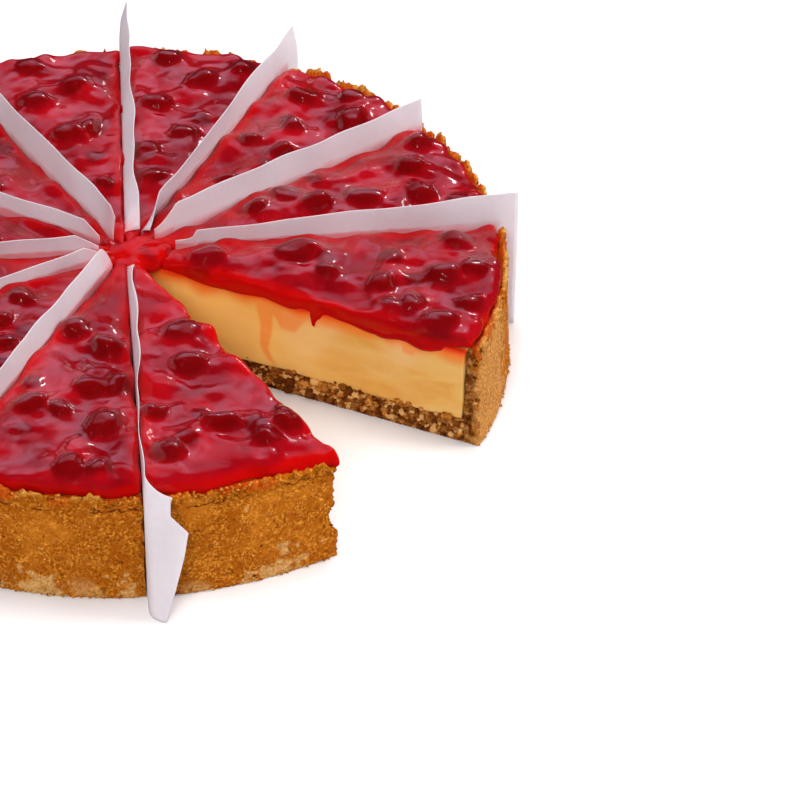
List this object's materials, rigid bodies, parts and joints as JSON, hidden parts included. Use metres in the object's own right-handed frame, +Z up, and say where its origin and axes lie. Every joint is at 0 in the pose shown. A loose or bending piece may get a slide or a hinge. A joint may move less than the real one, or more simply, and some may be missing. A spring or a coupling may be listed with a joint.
{
  "type": "baked cheesecake",
  "caption": "Round baked cheesecake in a crumb crust under a cherry glaze, cut into wedges with paper dividers, one wedge taken out.",
  "frame": {"origin": "middle of the cake's underside, on its axis, where all the cuts meet", "axes": "+Z up out of the glaze, -Y towards the front divider, the open gap to the front right"},
  "size_m": [0.2677, 0.2879, 0.0545],
  "materials": {
    "crust": "baked biscuit crumb, grainy",
    "filling": "smooth baked cheese filling",
    "glaze": "wet glossy cherry glaze",
    "paper": "plain white baking paper"
  },
  "bodies": {
    "root": {"crust_01": "crust", "crust_02": "crust", "crust_03": "crust", "crust_04": "crust", "crust_05": "crust", "crust_06": "crust", "crust_07": "crust", "crust_08": "crust", "crust_09": "crust", "crust_10": "crust", "crust_11": "crust", "filling_01": "filling", "filling_02": "filling", "filling_03": "filling", "filling_04": "filling", "filling_05": "filling", "filling_06": "filling", "filling_07": "filling", "filling_08": "filling", "filling_09": "filling", "filling_10": "filling", "filling_11": "filling", "topping_01": "glaze", "topping_02": "glaze", "topping_03": "glaze", "topping_04": "glaze", "topping_05": "glaze", "topping_06": "glaze", "topping_07": "glaze", "topping_08": "glaze", "topping_09": "glaze", "topping_10": "glaze", "topping_11": "glaze", "divider_01": "paper", "divider_02": "paper", "divider_03": "paper", "divider_04": "paper", "divider_05": "paper", "divider_06": "paper", "divider_07": "paper", "divider_08": "paper", "divider_09": "paper", "divider_10": "paper"}
  },
  "joints": []
}
